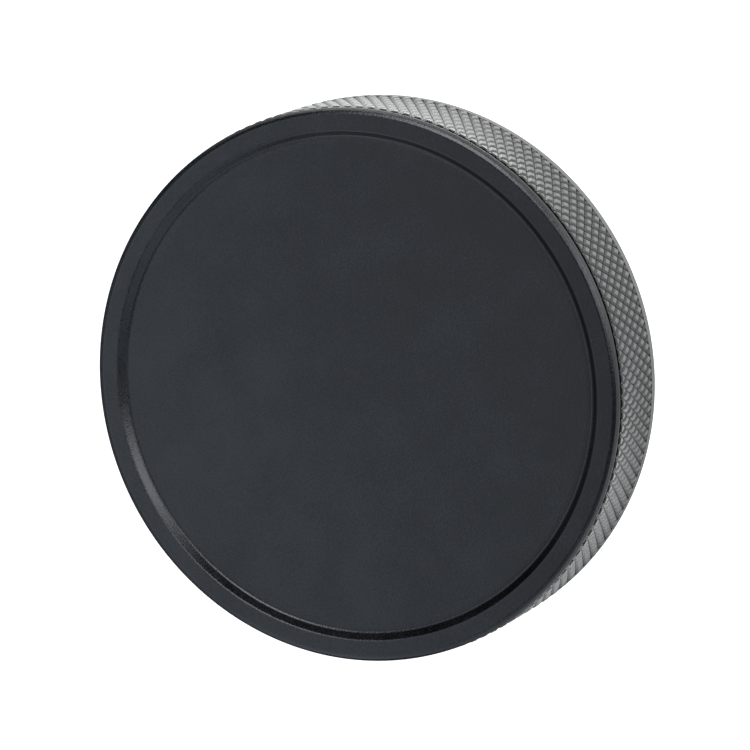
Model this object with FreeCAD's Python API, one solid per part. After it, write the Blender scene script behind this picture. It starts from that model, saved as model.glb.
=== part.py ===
"""Slim ice-hockey puck with a diamond-knurled edge, built as six bonded rubber pieces.

Frame: millimetres, +Z along the puck's axis, origin at the centre of the flat rim that the
puck rests on. The front face looks up, along +Z.

Stack from the axis outwards: a core disc, a facing disc on each side of it, a knurled band
round it, and a rim ring at each end. Each rim has a spigot that drops into the band's bore
and seats on the core, so the rims centre the band and frame the facing discs.
"""

import FreeCAD, Part
import math
import os

# Driving dimensions, in millimetres
DIAMETER = 76.2            # over the crests of the knurl: 3 inches
THICKNESS = 15.24          # rim flat to rim flat
LAND_SETBACK = 0.13        # smooth rim edge below the knurl's crests
LIP_WIDTH = 0.70           # front rim: both bevels together, measured along the radius
LIP_DEPTH = 0.24           # front rim: where the shallow bevel meets the steep one
BEVEL_WIDTH = 0.38         # front rim: the steep bevel alone, along the radius
BEVEL_DEPTH = 0.62         # front rim: where the steep bevel meets the smooth edge
REAR_CHAMFER = 0.33        # rear rim: one 45 degree chamfer
EDGE_HEIGHT = 0.80         # front rim: bevels and smooth edge together
RIM_FLAT_WIDTH = 2.32      # flat ring round each facing disc
RECESS_DEPTH = 1.00        # facing disc below the rim flat
WALL_WIDTH = 0.95          # sloping wall between the rim flat and its foot
FOOT_RADIUS = 0.45         # hollow at the wall's foot
FOOT_MARGIN = 0.20         # level strip between the wall's foot and the facing disc
FACING_THICKNESS = 1.60
FACING_EDGE_RADIUS = 0.05
GROOVE_WIDTH = 0.77        # between the front rim's smooth edge and the knurl
GROOVE_DEPTH = 0.72        # below the front rim's smooth edge

# Knurl: crossed helical grooves that leave raised diamonds in staggered rows
DIAMONDS_ROUND = 141
ROWS = 8
KNURL_DEPTH = 0.30
KNURL_FLAT_SHARE = 0.50    # width of the flat on a diamond over the diamond's width
BAND_BEVEL = 0.10          # 45 degree bevel at each end of the band

# Derived sizes
CREST_RADIUS = DIAMETER / 2
ROOT_RADIUS = CREST_RADIUS - KNURL_DEPTH
LAND_RADIUS = CREST_RADIUS - LAND_SETBACK
FLAT_OUTER_RADIUS = LAND_RADIUS - LIP_WIDTH
FLAT_INNER_RADIUS = FLAT_OUTER_RADIUS - RIM_FLAT_WIDTH
WALL_FOOT_RADIUS = FLAT_INNER_RADIUS - WALL_WIDTH
FACING_RADIUS = WALL_FOOT_RADIUS - FOOT_MARGIN
GROOVE_RADIUS = LAND_RADIUS - GROOVE_DEPTH
CORE_RADIUS = FLAT_INNER_RADIUS
SEAT_DEPTH = RECESS_DEPTH + FACING_THICKNESS
FLANGE_DEPTH = EDGE_HEIGHT + GROOVE_WIDTH
BAND_BOTTOM = FLANGE_DEPTH
BAND_TOP = THICKNESS - FLANGE_DEPTH
ROW_SPACING = (BAND_TOP - BAND_BOTTOM) / ROWS
LATTICE_ROWS = ROWS + 1
LATTICE_BOTTOM = BAND_BOTTOM - ROW_SPACING / 4
PEAK_RADIUS = (CREST_RADIUS - KNURL_FLAT_SHARE * ROOT_RADIUS) / (1 - KNURL_FLAT_SHARE)

AXIS_POINT = FreeCAD.Vector(0, 0, 0)
AXIS = FreeCAD.Vector(0, 0, 1)


def on_section(radius, depth):
    """A point of a half section: radius from the axis, depth below the rim flat."""
    return FreeCAD.Vector(radius, 0, -depth)


def turned(edges):
    """The solid that a closed outline of edges sweeps about the axis."""
    face = Part.Face(Part.Wire(edges))
    return face.revolve(AXIS_POINT, AXIS, 360)


def wall_edges():
    """Recess wall from the facing disc up to the rim flat: a level strip, a hollow, a slope."""
    slope = math.atan2(RECESS_DEPTH, WALL_WIDTH)
    cut = FOOT_RADIUS * math.tan(slope / 2)
    centre = on_section(WALL_FOOT_RADIUS - cut, RECESS_DEPTH - FOOT_RADIUS)

    def on_hollow(turn):
        return centre + on_section(FOOT_RADIUS * math.sin(turn), FOOT_RADIUS * math.cos(turn))

    return [
        Part.makeLine(on_section(FACING_RADIUS, RECESS_DEPTH), on_hollow(0)),
        Part.Arc(on_hollow(0), on_hollow(slope / 2), on_hollow(slope)).toShape(),
        Part.makeLine(on_hollow(slope), on_section(FLAT_INNER_RADIUS, 0)),
    ]


def front_edge():
    """Corners down the front rim's edge: two bevels, the smooth edge and the groove."""
    return [
        on_section(FLAT_OUTER_RADIUS, 0),
        on_section(LAND_RADIUS - BEVEL_WIDTH, LIP_DEPTH),
        on_section(LAND_RADIUS, BEVEL_DEPTH),
        on_section(LAND_RADIUS, EDGE_HEIGHT),
        on_section(GROOVE_RADIUS, EDGE_HEIGHT),
        on_section(GROOVE_RADIUS, FLANGE_DEPTH),
    ]


def rear_edge():
    """Corners down the rear rim's edge: one chamfer, then smooth to the knurl."""
    return [
        on_section(LAND_RADIUS - REAR_CHAMFER, 0),
        on_section(LAND_RADIUS, REAR_CHAMFER),
        on_section(LAND_RADIUS, FLANGE_DEPTH),
    ]


def rim_ring(edge_corners):
    """A rim as it lies with its flat at depth 0 and its spigot pointing down."""
    corners = [on_section(FLAT_INNER_RADIUS, 0)] + edge_corners + [
        on_section(CORE_RADIUS, FLANGE_DEPTH),
        on_section(CORE_RADIUS, SEAT_DEPTH),
        on_section(FACING_RADIUS, SEAT_DEPTH),
        on_section(FACING_RADIUS, RECESS_DEPTH),
    ]
    straight = [Part.makeLine(a, b) for a, b in zip(corners, corners[1:])]
    return turned(straight + wall_edges())


def facing_disc():
    """A facing disc, its shown side at the recess depth, with a rounded outer edge."""
    disc = Part.makeCylinder(FACING_RADIUS, FACING_THICKNESS, on_section(0, SEAT_DEPTH), AXIS)
    shown_edge = [edge for edge in disc.Edges if is_circle_at(edge, -RECESS_DEPTH)]
    return disc.makeFillet(FACING_EDGE_RADIUS, shown_edge)


def is_circle_at(edge, height):
    """True for a round edge that lies level at the given height."""
    box = edge.BoundBox
    return box.ZLength < 1e-6 and abs(box.ZMin - height) < 1e-6 and box.XLength > 1.0


def as_front(piece):
    """Lifts a piece drawn with its rim flat at 0 to the front of the puck."""
    placed = piece.copy()
    placed.translate(FreeCAD.Vector(0, 0, THICKNESS))
    return placed


def as_rear(piece):
    """Turns a piece drawn with its rim flat at 0 over, to the rear of the puck."""
    placed = piece.copy()
    placed.rotate(AXIS_POINT, FreeCAD.Vector(1, 0, 0), 180)
    return placed


def lattice_corner(half_step, row):
    """Where two grooves cross: a corner shared by four diamonds."""
    angle = math.pi * half_step / DIAMONDS_ROUND
    height = LATTICE_BOTTOM + row * ROW_SPACING
    return FreeCAD.Vector(ROOT_RADIUS * math.cos(angle), ROOT_RADIUS * math.sin(angle), height)


def diamond_points(half_step, row):
    """A diamond's four corners and, towards each, a corner of the small flat on its top.

    Its sides would meet at a peak. The flat cuts the peak off square to the radius, so each
    ridge from the peak to a corner stops at the flat, and every side stays in one plane.
    """
    corners = {
        "left": lattice_corner(half_step - 1, row),
        "right": lattice_corner(half_step + 1, row),
        "below": lattice_corner(half_step, row - 1),
        "above": lattice_corner(half_step, row + 1),
    }
    outward = lattice_corner(half_step, row)
    outward.z = 0
    outward.normalize()
    peak = outward * PEAK_RADIUS
    peak.z = LATTICE_BOTTOM + row * ROW_SPACING
    flat = {}
    for side, corner in corners.items():
        share = (PEAK_RADIUS - CREST_RADIUS) / (PEAK_RADIUS - corner.dot(outward))
        flat[side] = peak + (corner - peak) * share
    return corners, flat


def diamond_faces(half_step, row):
    """The sides and the flat of one diamond; only its inner half on the lattice's end rows."""
    corners, flat = diamond_points(half_step, row)
    shown = ["below", "above"]
    if row == 0:
        shown = ["above"]
    if row == LATTICE_ROWS:
        shown = ["below"]
    faces = []
    for end in shown:
        faces.append(flat_face([corners["left"], corners[end], flat[end], flat["left"]]))
        faces.append(flat_face([corners[end], corners["right"], flat["right"], flat[end]]))
    top = [flat["left"], flat[shown[0]], flat["right"]]
    if len(shown) == 2:
        top.append(flat["above"])
    faces.append(flat_face(top))
    return faces


def end_polygon(row):
    """The toothed outline of the lattice along an end row."""
    outline = []
    for half_step in range(row % 2, 2 * DIAMONDS_ROUND + row % 2, 2):
        corners, flat = diamond_points(half_step, row)
        outline += [corners["left"], flat["left"], flat["right"]]
    return flat_face(outline)


def flat_face(outline):
    return Part.Face(Part.makePolygon(outline + outline[:1]))


def knurled_drum():
    """A solid drum with the whole diamond lattice round it, one row longer than the band."""
    faces = [end_polygon(0), end_polygon(LATTICE_ROWS)]
    for row in range(LATTICE_ROWS + 1):
        for half_step in range(row % 2, 2 * DIAMONDS_ROUND + row % 2, 2):
            faces += diamond_faces(half_step, row)
    shell = Part.Shell(faces)
    shell.sewShape()
    return Part.Solid(shell)


def knurled_band():
    """The outer band: the drum bored for the core and faced to length, with bevelled ends."""
    bevel_radius = CREST_RADIUS - BAND_BEVEL
    clear_radius = CREST_RADIUS + BAND_BEVEL
    outline = [
        FreeCAD.Vector(CORE_RADIUS, 0, BAND_BOTTOM),
        FreeCAD.Vector(bevel_radius, 0, BAND_BOTTOM),
        FreeCAD.Vector(clear_radius, 0, BAND_BOTTOM + 2 * BAND_BEVEL),
        FreeCAD.Vector(clear_radius, 0, BAND_TOP - 2 * BAND_BEVEL),
        FreeCAD.Vector(bevel_radius, 0, BAND_TOP),
        FreeCAD.Vector(CORE_RADIUS, 0, BAND_TOP),
    ]
    sleeve = flat_face(outline).revolve(AXIS_POINT, AXIS, 360)
    return knurled_drum().common(sleeve)


def core_disc():
    """The solid disc in the middle, between the two facing discs."""
    height = THICKNESS - 2 * SEAT_DEPTH
    return Part.makeCylinder(CORE_RADIUS, height, FreeCAD.Vector(0, 0, SEAT_DEPTH), AXIS)


def all_pieces():
    return {
        "core": core_disc(),
        "knurled_band": knurled_band(),
        "front_rim": as_front(rim_ring(front_edge())),
        "front_face": as_front(facing_disc()),
        "rear_rim": as_rear(rim_ring(rear_edge())),
        "rear_face": as_rear(facing_disc()),
    }


os.makedirs("parts", exist_ok=True)
for name, piece in all_pieces().items():
    piece.exportStep("parts/" + name + ".step")
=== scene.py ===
"""Slim hockey puck: the finished look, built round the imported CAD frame.

Metres, in the CAD's frame: the puck lies flat with its rear rim at height 0 and its axis along +Z.
The rims, facings and knurled band are rebuilt as fine meshes in the places the CAD gives. The core
is hidden inside and stays as packed.
"""

import math
import random

import bmesh
import bpy
from mathutils import Matrix, Vector


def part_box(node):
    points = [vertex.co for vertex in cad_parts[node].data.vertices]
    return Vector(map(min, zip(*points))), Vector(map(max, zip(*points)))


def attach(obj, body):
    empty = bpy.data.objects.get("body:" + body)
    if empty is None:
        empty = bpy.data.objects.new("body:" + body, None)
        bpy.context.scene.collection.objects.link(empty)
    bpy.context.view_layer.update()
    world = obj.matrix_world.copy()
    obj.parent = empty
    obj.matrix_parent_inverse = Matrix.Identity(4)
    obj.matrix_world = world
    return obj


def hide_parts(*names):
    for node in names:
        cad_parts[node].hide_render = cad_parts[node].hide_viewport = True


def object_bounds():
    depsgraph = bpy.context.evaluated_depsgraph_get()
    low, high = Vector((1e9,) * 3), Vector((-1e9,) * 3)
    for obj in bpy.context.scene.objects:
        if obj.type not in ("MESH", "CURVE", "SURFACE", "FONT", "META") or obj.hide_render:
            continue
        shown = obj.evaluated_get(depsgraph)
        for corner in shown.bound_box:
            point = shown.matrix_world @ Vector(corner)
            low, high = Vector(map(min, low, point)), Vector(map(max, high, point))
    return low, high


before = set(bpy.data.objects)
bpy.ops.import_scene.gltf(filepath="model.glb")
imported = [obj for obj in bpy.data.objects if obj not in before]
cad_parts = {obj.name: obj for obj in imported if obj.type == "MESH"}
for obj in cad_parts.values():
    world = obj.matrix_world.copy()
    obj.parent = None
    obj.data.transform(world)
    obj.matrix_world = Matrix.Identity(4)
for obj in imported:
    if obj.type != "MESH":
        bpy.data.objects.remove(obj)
cad_low, cad_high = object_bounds()

MM = 0.001
TURN = 2 * math.pi

# Places and sizes that the CAD gives
THICKNESS = cad_high.z
CREST_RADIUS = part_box("knurled_band")[1].x
BAND_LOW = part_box("knurled_band")[0].z
BAND_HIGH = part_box("knurled_band")[1].z
LAND_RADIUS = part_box("front_rim")[1].x
FACING_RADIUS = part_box("front_face")[1].x
CORE_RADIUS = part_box("core")[1].x
FLOOR_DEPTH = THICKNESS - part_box("front_face")[1].z
SEAT_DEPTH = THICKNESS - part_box("front_face")[0].z

# Front rim's edge. Widths are measured inwards from the smooth edge, depths down from the rim's top
BEVELS_WIDTH = 0.75 * MM    # both bevels together
CROWN_FALL = 0.08 * MM      # how far the crowned flat has fallen where the bevels start
STEEP_WIDTH = 0.34 * MM     # the steep bevel alone
STEEP_DEPTH = 0.27 * MM     # where the shallow bevel meets the steep one
EDGE_DEPTH = 0.72 * MM      # where the steep bevel meets the smooth edge
GROOVE_WIDTH = 0.77 * MM
GROOVE_DEPTH = 0.72 * MM

# Other rim details
REAR_CHAMFER = 0.33 * MM
FOOT_MARGIN = 0.30 * MM     # level strip at the foot of the recess wall

# Edge radii that a mould leaves
CROWN_EDGE = 0.50 * MM
BEVEL_EDGE = 0.20 * MM
REAR_EDGE = 0.10 * MM
GROOVE_EDGE = 0.04 * MM
FOOT_EDGE = 0.62 * MM
WALL_EDGE = 0.50 * MM
FACING_EDGE = 0.03 * MM

# Knurl: raised diamonds in staggered rows, each with a small flat on top
DIAMONDS_ROUND = 141
ROWS = 8
KNURL_DEPTH = 0.30 * MM
FLAT_SHARE = 0.5            # width of the flat over the diamond's width
BAND_BEVEL = 0.25 * MM
HEIGHT_SCATTER = 0.05       # share of the depth by which diamonds differ in height
CELL_STEPS = 8              # mesh steps across a diamond
LATTICE_SHIFT = 6           # mesh rows from the band's lower end to the middle of a row of diamonds

# Fineness of the turned meshes
SEGMENTS = 512
FACING_RINGS = 48
EDGE_STEPS = 4
SHARP_FROM = math.radians(50)

# Rubber colours
MATT_DARK = (0, 0, 0, 1)
MATT_PALE = (0.014, 0.0155, 0.017, 1)
KNURL_DARK = (0.016, 0.016, 0.0148, 1)
KNURL_PALE = (0.024, 0.024, 0.022, 1)
CORE_DARK = (0.008, 0.008, 0.008, 1)
CORE_PALE = (0.014, 0.014, 0.014, 1)
# Crest colour: partly wear, partly a painted highlight. Crevice colour: painted shade
CREST_WEAR_AND_HIGHLIGHT_COLOUR = (0.055, 0.055, 0.050, 1)
CREVICE_SHADE_COLOUR = (0.002, 0.002, 0.002, 1)
# Bevel colour: painted highlight. Rear land colour: painted reflection
BEVEL_HIGHLIGHT_COLOUR = (0.050, 0.050, 0.046, 1)
REAR_LAND_REFLECTION_COLOUR = (0.09, 0.09, 0.082, 1)
DUST_COLOUR = (0.05, 0.05, 0.05, 1)

# Rubber surface
CLOUD_SIZE = 9 * MM
GRAIN_SIZE = 0.28 * MM
GRAIN_DEPTH = 0.03 * MM
KNURL_GRAIN_SIZE = 0.25 * MM
KNURL_GRAIN_DEPTH = 0.003 * MM
CORE_GRAIN_SIZE = 0.4 * MM
CORE_GRAIN_DEPTH = 0.01 * MM
RUBBER_IOR = 1.5
KNURL_IOR = 1.65
FACING_ROUGHNESS = 0.42
RIM_ROUGHNESS = 0.40
KNURL_ROUGHNESS = 0.46
CORE_ROUGHNESS = 0.70
ROUGHNESS_SPREAD = 0.04
POLISH_OF_RIM = 0.12        # how much smoother the recess wall and the bevels are
POLISH_OF_CRESTS = 0.14     # how much smoother the diamonds' flats are
PAINTED_SHADE_AT_NEAR_SIDE = -0.16   # painted shade: the rubber is a little darker towards -Y and a little lighter towards +Y
PAINTED_LIGHT_AT_FAR_SIDE = 0.05

# Dust: spacing of the lots a speck may fall in, the share that get one, its size over the spacing
DUST_SPACING = 1.5 * MM
DUST_SHARE = 0.006
DUST_SIZE = 0.07

# View, as angles off the puck's axis and round it
VIEW_TILT = math.radians(24.24)
VIEW_ROLL = math.radians(24.33)
VIEW_DISTANCE = 0.718
LENS = 255.25
AIM_RIGHT = 0.0790
AIM_UP = 0.0440

# Sky: radiance near and far, and what is left of it on the +X side and at the far horizon
SKY = 0.12
SKY_FAR = 1.28
SKY_ASIDE = 0.03
SKY_HORIZON = 0.25

# Soft panels: degrees off the zenith towards +X and +Y, half-width in degrees, radiance
PANELS = [
    (0, -64, 16, 4.2),
    (0, -30, 10, 4.5),
    (30, -11, 15, 6.5),
    (-80, 5, 45, 0.75),
]
SKY_TINT = (0.90, 1.0, 1.16, 1)
PANEL_TINT = (0.96, 1.0, 1.08, 1)

# Floor: a white sheet that glows to the camera, dimmer where the puck mirrors it. A ring of
# brighter pools lies round the puck, at its flanks
SHEET_HALF = 1.5
SHEET_GAP = 0.02 * MM
SHEET_PALE = (0.3, 0.3, 0.3, 1)
SHEET_DARK = (0.05, 0.05, 0.05, 1)
GLOW_SEEN = 1.3
GLOW_LEFT = 0.0
GLOW_RIGHT = 1.2
POOL_LEFT = 3.6
POOL_RIGHT = 5.4


# ---------------------------------------------------------------- mesh helpers

def add_piece(name, vertices, faces, material, faceted=False):
    """A mesh object with its normals pointing outwards, smooth-shaded unless faceted."""
    mesh = bpy.data.meshes.new(name)
    mesh.from_pydata(vertices, [], faces)
    shape = bmesh.new()
    shape.from_mesh(mesh)
    bmesh.ops.recalc_face_normals(shape, faces=shape.faces)
    for face in shape.faces:
        face.smooth = not faceted
    for edge in shape.edges:
        edge.smooth = edge.calc_face_angle() < SHARP_FROM
    shape.to_mesh(mesh)
    shape.free()
    mesh.materials.append(material)
    piece = bpy.data.objects.new(name, mesh)
    bpy.context.scene.collection.objects.link(piece)
    even = piece.modifiers.new("even_normals", "WEIGHTED_NORMAL")
    even.keep_sharp = True
    even.weight = 100
    return piece


def stand_for(piece, node):
    """The piece rides on the puck's one body and is shown in the CAD node's place."""
    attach(piece, "root")
    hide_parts(node)


def rounded(corners):
    """The outline through (radius, height, edge radius) corners, each eased by its edge radius."""
    outline = []
    for i, (x, z, edge) in enumerate(corners):
        here = Vector((x, z))
        if edge == 0:
            outline.append(here)
            continue
        before = (Vector(corners[i - 1][:2]) - here).normalized()
        after = (Vector(corners[(i + 1) % len(corners)][:2]) - here).normalized()
        half = before.angle(after) / 2
        centre = here + (before + after).normalized() * edge / math.sin(half)
        start = here + before * edge / math.tan(half) - centre
        end = here + after * edge / math.tan(half) - centre
        for k in range(EDGE_STEPS + 1):
            outline.append(centre + start.slerp(end, k / EDGE_STEPS) * edge)
    return outline


def turned_points(outline):
    """The points of a (radius, height) outline, copied round the axis segment by segment."""
    points = []
    for s in range(SEGMENTS):
        angle = TURN * s / SEGMENTS
        points += [(p.x * math.cos(angle), p.x * math.sin(angle), p.y) for p in outline]
    return points


def lathe(outline):
    """Vertices and faces of a closed (radius, height) outline turned about the axis."""
    faces = []
    count = len(outline)
    for s in range(SEGMENTS):
        near = s * count
        far = (s + 1) % SEGMENTS * count
        for i in range(count):
            j = (i + 1) % count
            faces.append((near + i, far + i, far + j, near + j))
    return turned_points(outline), faces


# ---------------------------------------------------------------- pieces

def front_edge():
    """Corners down the front rim's edge: two bevels, the smooth edge and the groove."""
    edge_height = BAND_HIGH + GROOVE_WIDTH - THICKNESS
    groove_radius = LAND_RADIUS - GROOVE_DEPTH
    return [
        (LAND_RADIUS - BEVELS_WIDTH, -CROWN_FALL, CROWN_EDGE),
        (LAND_RADIUS - STEEP_WIDTH, -STEEP_DEPTH, BEVEL_EDGE),
        (LAND_RADIUS, -EDGE_DEPTH, BEVEL_EDGE),
        (LAND_RADIUS, edge_height, GROOVE_EDGE),
        (groove_radius, edge_height, 0),
        (groove_radius, BAND_HIGH - THICKNESS, 0),
    ]


def rear_edge():
    """Corners down the rear rim's edge: one chamfer, then smooth to the knurl."""
    return [
        (LAND_RADIUS - REAR_CHAMFER, 0, REAR_EDGE),
        (LAND_RADIUS, -REAR_CHAMFER, REAR_EDGE),
        (LAND_RADIUS, BAND_HIGH - THICKNESS, 0),
    ]


def rim_outline(edge_corners):
    """Closed section of a rim, with its flat at height 0 and its spigot pointing down."""
    wall = [
        (FACING_RADIUS, -FLOOR_DEPTH, 0),
        (FACING_RADIUS + FOOT_MARGIN, -FLOOR_DEPTH, FOOT_EDGE),
        (CORE_RADIUS, 0, WALL_EDGE),
    ]
    spigot = [
        (CORE_RADIUS, BAND_HIGH - THICKNESS, 0),
        (CORE_RADIUS, -SEAT_DEPTH, 0),
        (FACING_RADIUS, -SEAT_DEPTH, 0),
    ]
    return rounded(wall + edge_corners + spigot)


def facing_outline():
    """Section of a facing disc from its edge, with its shown side at minus the recess depth."""
    corners = [
        (FACING_RADIUS, -SEAT_DEPTH, 0),
        (FACING_RADIUS, -FLOOR_DEPTH, FACING_EDGE),
        (0, -FLOOR_DEPTH, 0),
        (0, -SEAT_DEPTH, 0),
    ]
    return rounded(corners)


def disc(outline):
    """A facing disc: its turned edge, closed on both sides by rings that shrink to the middle."""
    edge = outline[:-2]
    top = edge[-1].y
    bottom = outline[-1].y
    shrink = [1 - k / FACING_RINGS for k in range(1, FACING_RINGS)]
    upper = [Vector((edge[-1].x * k, top)) for k in shrink]
    lower = [Vector((edge[0].x * k, bottom)) for k in reversed(shrink)]
    section = lower + edge + upper
    vertices = turned_points(section)
    middle_below = len(vertices)
    middle_above = middle_below + 1
    vertices += [(0, 0, bottom), (0, 0, top)]
    faces = []
    count = len(section)
    for s in range(SEGMENTS):
        near = s * count
        far = (s + 1) % SEGMENTS * count
        for i in range(count - 1):
            faces.append((near + i, far + i, far + i + 1, near + i + 1))
        faces.append((near, middle_below, far))
        faces.append((near + count - 1, far + count - 1, middle_above))
    return vertices, faces


def at_front(vertices):
    """Lifts a piece drawn with its rim flat at 0 to the front of the puck."""
    return [(x, y, THICKNESS + z) for x, y, z in vertices]


def at_rear(vertices):
    """Turns a piece drawn with its rim flat at 0 over, to the rear of the puck."""
    return [(x, -y, -z) for x, y, z in vertices]


def knurl_height(u, v, lift):
    """Height above the groove floor at a place in a diamond; u and v run 0 to 1 across it."""
    to_edge = min(u, 1 - u, v, 1 - v)
    slope_width = (1 - FLAT_SHARE) / 2
    return KNURL_DEPTH * lift * min(1.0, to_edge / slope_width)


def knurl_lattice():
    """Points of the knurled surface, row by row, on a lattice that follows the crossed grooves."""
    scatter = random.Random(7)
    lifts = {}
    points = []
    steps = DIAMONDS_ROUND * CELL_STEPS
    rows = ROWS * CELL_STEPS
    for row in range(rows + 1):
        height = BAND_LOW + (BAND_HIGH - BAND_LOW) * row / rows
        along = (row - LATTICE_SHIFT) / (2 * CELL_STEPS)
        from_end = min(height - BAND_LOW, BAND_HIGH - height)
        for step in range(steps):
            around = (step + row % 2 / 2) / CELL_STEPS
            u = around + along + 0.5
            v = around - along + 0.5
            cell = (math.floor(u) % DIAMONDS_ROUND, math.floor(u) - math.floor(v))
            if cell not in lifts:
                lifts[cell] = 1 - HEIGHT_SCATTER * scatter.random()
            radius = CREST_RADIUS - KNURL_DEPTH + knurl_height(u % 1, v % 1, lifts[cell])
            radius = min(radius, CREST_RADIUS - BAND_BEVEL + from_end)
            angle = TURN * around / DIAMONDS_ROUND
            points.append((radius * math.cos(angle), radius * math.sin(angle), height))
    return points


def knurled_band():
    """The band as a closed mesh: the knurled surface, two flat ends and the bore."""
    steps = DIAMONDS_ROUND * CELL_STEPS
    top = ROWS * CELL_STEPS
    vertices = knurl_lattice()
    bore = len(vertices)
    for height in (BAND_LOW, BAND_HIGH):
        for step in range(steps):
            angle = TURN * step / steps
            vertices.append((CORE_RADIUS * math.cos(angle), CORE_RADIUS * math.sin(angle), height))

    def at(row, step):
        return row * steps + step % steps

    def bored(end, step):
        return bore + end * steps + step % steps

    faces = []
    for row in range(top - 1):
        for step in range(steps):
            right = step + row % 2
            faces.append((at(row, step), at(row + 1, right), at(row + 2, step), at(row + 1, right - 1)))
    for step in range(steps):
        faces.append((at(0, step), at(0, step + 1), at(1, step)))
        faces.append((at(top, step + 1), at(top, step), at(top - 1, step)))
        faces.append((at(0, step + 1), at(0, step), bored(0, step), bored(0, step + 1)))
        faces.append((at(top, step), at(top, step + 1), bored(1, step + 1), bored(1, step)))
        faces.append((bored(0, step), bored(0, step + 1), bored(1, step + 1), bored(1, step)))
    return vertices, faces


# ---------------------------------------------------------------- materials

class Nodes:
    """Short ways to add and link the nodes of one material or world."""

    def __init__(self, owner):
        owner.use_nodes = True
        self.tree = owner.node_tree
        self.tree.nodes.clear()

    def put(self, socket, value):
        """Links another socket to this one, or sets it to a plain value."""
        if isinstance(value, bpy.types.NodeSocket):
            self.tree.links.new(value, socket)
        else:
            socket.default_value = value

    def add(self, kind, **settings):
        """Adds a node. Settings are its properties; its inputs are given to feed()."""
        node = self.tree.nodes.new(kind)
        for key, value in settings.items():
            setattr(node, key, value)
        return node

    def feed(self, node, **sockets):
        """Sets or links inputs by name; an underscore in a name stands for a space."""
        for key, value in sockets.items():
            self.put(node.inputs[key.replace("_", " ")], value)
        return node

    def place(self, kind="Object"):
        """A place on the object, or a direction in the sky, whole and as its X, Y and Z."""
        where = self.add("ShaderNodeTexCoord").outputs[kind]
        parts = self.feed(self.add("ShaderNodeSeparateXYZ"), Vector=where)
        return where, parts.outputs

    def math(self, operation, *values):
        """A math node on the given numbers or sockets."""
        node = self.add("ShaderNodeMath", operation=operation)
        for socket, value in zip(node.inputs, values):
            self.put(socket, value)
        return node.outputs[0]

    def vector_math(self, operation, *values):
        """The number that a vector math node gives."""
        node = self.add("ShaderNodeVectorMath", operation=operation)
        for socket, value in zip(node.inputs, values):
            self.put(socket, value)
        return node.outputs["Value"]

    def product(self, *values):
        """All the given numbers or sockets multiplied together."""
        result = values[0]
        for value in values[1:]:
            result = self.math("MULTIPLY", result, value)
        return result

    def noise(self, where, size, detail):
        """Noise from 0 to 1 whose features are about the given size in metres."""
        node = self.add("ShaderNodeTexNoise")
        self.feed(node, Vector=where, Scale=1 / size, Detail=detail, Roughness=0.6)
        return node.outputs["Fac"]

    def ramp(self, value, low, high, start=0.0, end=1.0):
        """Maps low..high smoothly to start..end, held at both ends."""
        node = self.add("ShaderNodeMapRange", interpolation_type="SMOOTHSTEP")
        self.feed(node, Value=value, From_Min=low, From_Max=high, To_Min=start, To_Max=end)
        return node.outputs["Result"]

    def blend(self, share, first, second):
        """Mixes two colours."""
        node = self.add("ShaderNodeMix", data_type="RGBA")
        self.put(node.inputs[0], share)
        self.put(node.inputs[6], first)
        self.put(node.inputs[7], second)
        return node.outputs[2]


def rubber(name, dark, pale, roughness, grain_size, grain_depth, ior=RUBBER_IOR):
    """Rubber with an uneven tone, painted shade towards -Y and painted light towards +Y, and a fine grain.
    Gives back its parts for more detail.
    """
    material = bpy.data.materials.new(name)
    nodes = Nodes(material)
    where, parts = nodes.place()
    square = nodes.math("ADD", nodes.product(parts["X"], parts["X"]), nodes.product(parts["Y"], parts["Y"]))
    nodes.radius = nodes.math("SQRT", square)
    nodes.height = parts["Z"]
    nodes.near_side = nodes.ramp(parts["Y"], 12 * MM, -2 * MM)
    cloud = nodes.noise(where, CLOUD_SIZE, detail=4)
    grain = nodes.noise(where, grain_size, detail=2)
    tone = nodes.math("ADD", nodes.product(cloud, 0.4), nodes.product(grain, 0.6))
    # Painted shade towards -Y and painted light towards +Y, added to the tone
    painted_side_light = nodes.ramp(parts["Y"], -CREST_RADIUS, CREST_RADIUS, PAINTED_SHADE_AT_NEAR_SIDE, PAINTED_LIGHT_AT_FAR_SIDE)
    tone = nodes.math("ADD", tone, painted_side_light)
    shade = nodes.blend(nodes.ramp(tone, 0.3, 0.7), dark, pale)
    nodes.shade = nodes.blend(dust(nodes, where), shade, DUST_COLOUR)
    nodes.rough = nodes.ramp(tone, 0.2, 0.8, roughness - ROUGHNESS_SPREAD, roughness + ROUGHNESS_SPREAD)
    bump = nodes.add("ShaderNodeBump")
    nodes.feed(bump, Height=grain, Distance=grain_depth, Strength=1.0)
    nodes.surface = nodes.add("ShaderNodeBsdfPrincipled")
    nodes.feed(nodes.surface, Normal=bump.outputs["Normal"], IOR=ior)
    output = nodes.add("ShaderNodeOutputMaterial")
    nodes.feed(output, Surface=nodes.surface.outputs["BSDF"])
    return material, nodes


def dust(nodes, where):
    """A mask that is 1 on a few tiny specks and 0 elsewhere."""
    cells = nodes.add("ShaderNodeTexVoronoi")
    nodes.feed(cells, Vector=where, Scale=1 / DUST_SPACING)
    lot = nodes.add("ShaderNodeSeparateColor")
    nodes.feed(lot, Color=cells.outputs["Color"])
    chosen = nodes.math("GREATER_THAN", lot.outputs["Red"], 1 - DUST_SHARE)
    close = nodes.ramp(cells.outputs["Distance"], DUST_SIZE, DUST_SIZE / 2)
    return nodes.product(chosen, close)


def facing_material():
    material, nodes = rubber(
        "facing_rubber", MATT_DARK, MATT_PALE, FACING_ROUGHNESS, GRAIN_SIZE, GRAIN_DEPTH
    )
    nodes.feed(nodes.surface, Base_Color=nodes.shade, Roughness=nodes.rough)
    return material


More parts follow.
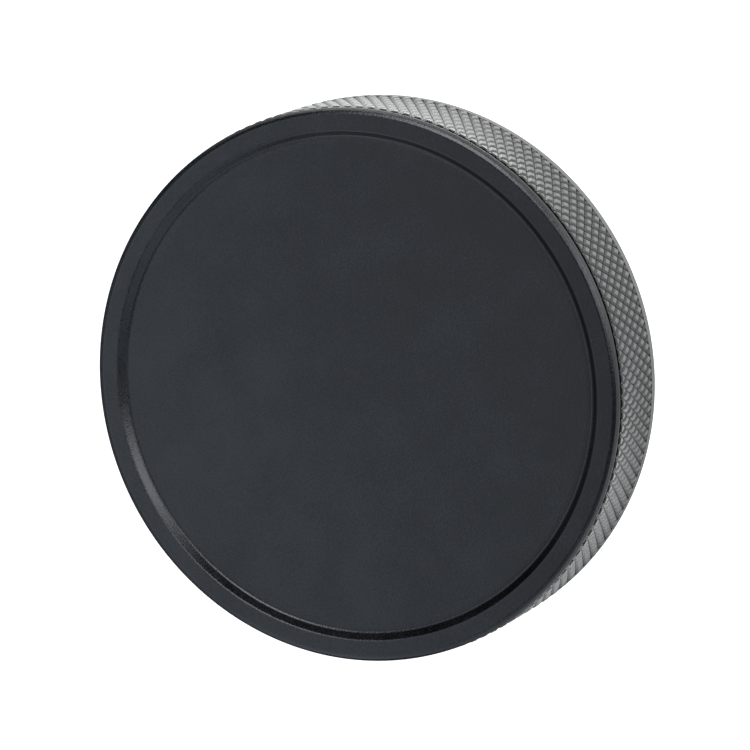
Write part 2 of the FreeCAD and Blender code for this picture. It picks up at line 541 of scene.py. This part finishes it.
def rim_material():
    """Smoother on the recess wall and the bevels; a painted highlight on the near bevel and a painted
    reflection on the rear land.
    """
    material, nodes = rubber("rim_rubber", MATT_DARK, MATT_PALE, RIM_ROUGHNESS, GRAIN_SIZE, GRAIN_DEPTH)

    def outside(inset, width):
        """1 beyond the radius that lies the inset inside the smooth edge, eased over the width."""
        start = LAND_RADIUS - inset
        return nodes.ramp(nodes.radius, start - width / 2, start + width / 2)

    wall = nodes.ramp(nodes.radius, CORE_RADIUS + 0.05 * MM, CORE_RADIUS - 0.05 * MM)
    bevels = outside(1.0 * MM, 0.20 * MM)
    steep_bevel = outside(0.36 * MM, 0.12 * MM)
    land = outside(0.125 * MM, 0.15 * MM)
    smooth = nodes.math("MAXIMUM", wall, nodes.math("SUBTRACT", bevels, land))
    rough = nodes.math("SUBTRACT", nodes.rough, nodes.product(smooth, POLISH_OF_RIM))
    # Painted highlight: the steep bevel is painted pale on the near side only
    shade = nodes.blend(nodes.product(steep_bevel, nodes.near_side), nodes.shade, BEVEL_HIGHLIGHT_COLOUR)
    at_rear_end = nodes.ramp(nodes.height, 2.5 * MM, 2.0 * MM)
    # Painted reflection: the rear land is painted pale
    shade = nodes.blend(nodes.product(land, at_rear_end), shade, REAR_LAND_REFLECTION_COLOUR)
    nodes.feed(nodes.surface, Base_Color=shade, Roughness=rough)
    return material


def band_material():
    """Crests paler and smoother, partly from wear and partly a painted highlight; painted shade, black and
    dull, in the crevices and on the front end.
    """
    material, nodes = rubber(
        "band_rubber", KNURL_DARK, KNURL_PALE, KNURL_ROUGHNESS, KNURL_GRAIN_SIZE, KNURL_GRAIN_DEPTH,
        ior=KNURL_IOR,
    )

    def above(low, high):
        """0 to 1 between two depths below the crests, given as shares of the knurl's depth."""
        return nodes.ramp(nodes.radius, CREST_RADIUS - low * KNURL_DEPTH, CREST_RADIUS - high * KNURL_DEPTH)

    # Crest mask: the paler crest colour is partly wear, partly a painted highlight
    worn_and_highlit = above(0.30, 0.05)
    clear = above(0.95, 0.65)
    below_end = nodes.math("SUBTRACT", BAND_HIGH, nodes.height)
    inside = nodes.ramp(below_end, 0.02 * MM, 0.12 * MM)
    # Painted shade: deep in the crevices and at the front end the colour goes black and the specular dulls
    shown = nodes.product(nodes.math("ADD", nodes.product(clear, 0.8), 0.2), inside)
    shade = nodes.blend(worn_and_highlit, nodes.shade, CREST_WEAR_AND_HIGHLIGHT_COLOUR)
    shade = nodes.blend(shown, CREVICE_SHADE_COLOUR, shade)
    rough = nodes.math("SUBTRACT", nodes.rough, nodes.product(worn_and_highlit, POLISH_OF_CRESTS))
    level = nodes.product(shown, 0.5)
    nodes.feed(nodes.surface, Base_Color=shade, Roughness=rough, Specular_IOR_Level=level)
    return material


def core_material():
    material, nodes = rubber(
        "core_rubber", CORE_DARK, CORE_PALE, CORE_ROUGHNESS, CORE_GRAIN_SIZE, CORE_GRAIN_DEPTH
    )
    nodes.feed(nodes.surface, Base_Color=nodes.shade, Roughness=nodes.rough)
    return material


# ---------------------------------------------------------------- stage

def make_floor():
    """A wide white sheet under the puck."""
    mesh = bpy.data.meshes.new("floor")
    signs = [(-1, -1), (1, -1), (1, 1), (-1, 1)]
    mesh.from_pydata([(x * SHEET_HALF, y * SHEET_HALF, 0) for x, y in signs], [], [(0, 1, 2, 3)])
    floor = bpy.data.objects.new("floor", mesh)
    bpy.context.scene.collection.objects.link(floor)
    floor.location.z = cad_low.z - SHEET_GAP
    mesh.materials.append(sheet_material())


def sheet_material():
    """White to the camera. What the puck mirrors is dim on the left and behind, and has pools."""
    material = bpy.data.materials.new("white_sheet")
    nodes = Nodes(material)
    where, parts = nodes.place()
    reach = nodes.vector_math("LENGTH", where)
    ring = nodes.product(nodes.ramp(reach, 42 * MM, 47 * MM), nodes.ramp(reach, 70 * MM, 52 * MM))
    aside = nodes.math("DIVIDE", nodes.math("ABSOLUTE", parts["X"]), reach)
    flank = nodes.ramp(aside, 0.40, 0.68)
    strength = nodes.ramp(parts["X"], -10 * MM, 10 * MM, POOL_LEFT, POOL_RIGHT)
    pool = nodes.product(ring, flank, strength)
    side = nodes.ramp(parts["X"], -60 * MM, 10 * MM, GLOW_LEFT, GLOW_RIGHT)
    in_front = nodes.ramp(parts["Y"], 10 * MM, -14 * MM)
    mirrored = nodes.product(nodes.math("ADD", pool, side), in_front)
    seen = nodes.product(nodes.add("ShaderNodeLightPath").outputs["Is Camera Ray"], GLOW_SEEN)
    glow = nodes.math("MAXIMUM", mirrored, seen)
    surface = nodes.add("ShaderNodeBsdfPrincipled")
    nodes.feed(surface, Base_Color=nodes.blend(in_front, SHEET_DARK, SHEET_PALE), Roughness=0.9)
    nodes.feed(surface, Emission_Color=(1, 1, 1, 1), Emission_Strength=glow)
    nodes.feed(nodes.add("ShaderNodeOutputMaterial"), Surface=surface.outputs["BSDF"])
    return material


def towards(across, along):
    """Unit direction that lies the given degrees off the zenith towards +X and +Y."""
    off = math.radians(math.hypot(across, along))
    turn = math.atan2(along, across)
    return Vector((math.sin(off) * math.cos(turn), math.sin(off) * math.sin(turn), math.cos(off)))


def make_sky():
    """Soft light that grows towards the far side, dark on the +X side, with soft white panels."""
    world = bpy.data.worlds.new("studio")
    bpy.context.scene.world = world
    nodes = Nodes(world)
    direction, parts = nodes.place("Generated")
    far = nodes.math("ADD", parts["Y"], nodes.product(parts["X"], 0.3))
    rise = nodes.ramp(far, 0.08, 0.62, SKY, SKY_FAR)
    above_horizon = nodes.ramp(far, 0.50, 0.95, 1, SKY_HORIZON)
    lit_side = nodes.math("SUBTRACT", 1 + SKY_ASIDE, nodes.ramp(parts["X"], 0.35, 0.75))
    light = nodes.product(rise, above_horizon, lit_side)
    panels = 0
    for across, along, half_width, radiance in PANELS:
        dot = nodes.vector_math("DOT_PRODUCT", direction, towards(across, along))
        edge = math.cos(math.radians(half_width * 1.25))
        inside = math.cos(math.radians(half_width * 0.75))
        panels = nodes.math("MAXIMUM", panels, nodes.ramp(dot, edge, inside, 0, radiance))
    tint = nodes.blend(nodes.ramp(panels, 1, 3), SKY_TINT, PANEL_TINT)
    background = nodes.add("ShaderNodeBackground")
    nodes.feed(background, Color=tint, Strength=nodes.math("MAXIMUM", light, panels))
    nodes.feed(nodes.add("ShaderNodeOutputWorld"), Surface=background.outputs["Background"])


def make_camera():
    """Looks down on the front face, a little off the axis, with the near side to the right."""
    back = Vector((0, -math.sin(VIEW_TILT), math.cos(VIEW_TILT)))
    near_side = Vector((0, -math.cos(VIEW_TILT), -math.sin(VIEW_TILT)))
    across = Vector((1, 0, 0))
    right = near_side * math.cos(VIEW_ROLL) - across * math.sin(VIEW_ROLL)
    up = near_side * math.sin(VIEW_ROLL) + across * math.cos(VIEW_ROLL)
    aim = Vector((0, 0, THICKNESS)) + (right * AIM_RIGHT + up * AIM_UP) * LAND_RADIUS
    data = bpy.data.cameras.new("camera")
    data.sensor_width = 36
    data.lens = LENS
    data.clip_start = 0.01
    camera = bpy.data.objects.new("camera", data)
    bpy.context.scene.collection.objects.link(camera)
    turned = Matrix((right, up, back)).transposed().to_4x4()
    camera.matrix_world = Matrix.Translation(aim + back * VIEW_DISTANCE) @ turned
    bpy.context.scene.camera = camera


# ---------------------------------------------------------------- build

rim_rubber = rim_material()
facing_rubber = facing_material()

facing_vertices, facing_faces = disc(facing_outline())
for end, place, edge in (("front", at_front, front_edge()), ("rear", at_rear, rear_edge())):
    rim_vertices, rim_faces = lathe(rim_outline(edge))
    rim = add_piece(end + "_rim_ring", place(rim_vertices), rim_faces, rim_rubber)
    stand_for(rim, end + "_rim")
    facing = add_piece(end + "_facing", place(facing_vertices), facing_faces, facing_rubber)
    stand_for(facing, end + "_face")

band_vertices, band_faces = knurled_band()
band = add_piece("diamond_band", band_vertices, band_faces, band_material(), faceted=True)
stand_for(band, "knurled_band")
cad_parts["core"].material_slots[0].material = core_material()

make_floor()
make_sky()
make_camera()

bpy.context.scene.view_settings.view_transform = "Standard"
